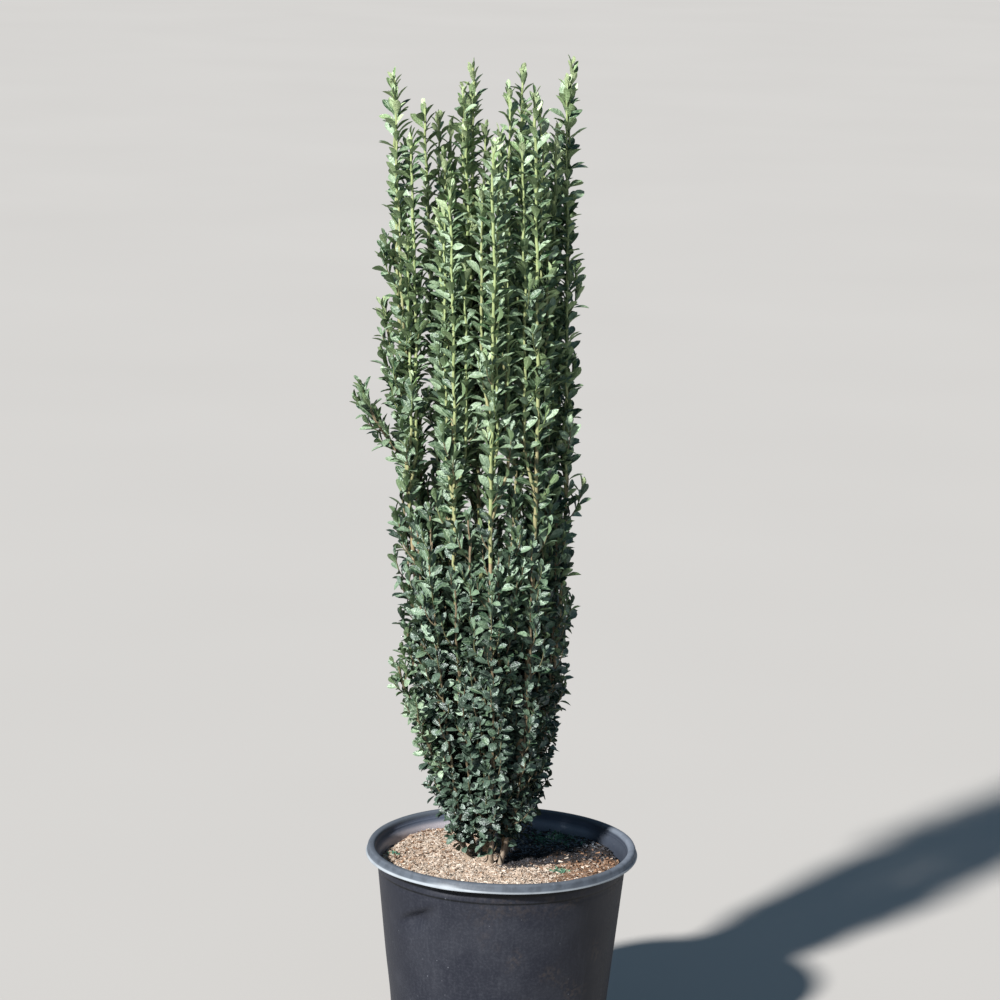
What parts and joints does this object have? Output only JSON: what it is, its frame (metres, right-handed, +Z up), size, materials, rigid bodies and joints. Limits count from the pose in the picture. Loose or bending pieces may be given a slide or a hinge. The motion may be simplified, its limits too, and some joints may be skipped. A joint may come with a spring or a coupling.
{
  "type": "potted columnar japanese holly",
  "caption": "Narrow, upright evergreen holly with small oval leaves on nearly vertical shoots, growing in a round black nursery pot filled with bark mix.",
  "frame": {"origin": "centre of the pot's flat underside, on the ground", "axes": "+Z up along the pot's axis, +X to the right of the plant's front, +Y to its back"},
  "size_m": [0.299, 0.28, 1.0653],
  "materials": {
    "pot": "dusty matt black moulded plastic",
    "potting_mix": "loose tan bark and husk mix",
    "bark": "thin tan bark, greener towards the tips",
    "young_leaf": "satin yellow-green leaves on slim shoots",
    "old_leaf": "glossy dark green leaves on slim shoots"
  },
  "bodies": {
    "root": {"pot": "pot", "potting_mix": "potting_mix", "stem_left_outer": "bark", "stem_front": "bark", "stem_front_right": "bark", "stem_centre": "bark", "stem_right_back": "bark", "stem_back": "bark", "stem_back_left": "bark", "bough_left_inner": "bark", "bough_left_front": "bark", "bough_right_outer": "bark", "bough_right_inner": "bark", "bough_back_right": "bark", "spire_left_outer": "young_leaf", "spire_left_inner": "young_leaf", "spire_front": "young_leaf", "spire_left_front": "young_leaf", "spire_front_right": "young_leaf", "spire_right_outer": "young_leaf", "spire_centre": "young_leaf", "spire_right_inner": "young_leaf", "spire_right_back": "young_leaf", "spire_back_right": "young_leaf", "spire_back": "young_leaf", "spire_back_left": "young_leaf", "lower_front": "old_leaf", "lower_front_right": "old_leaf", "lower_right": "old_leaf", "lower_right_back": "old_leaf", "lower_back": "old_leaf", "lower_back_left": "old_leaf", "lower_left": "old_leaf", "lower_front_left": "old_leaf"}
  },
  "joints": []
}
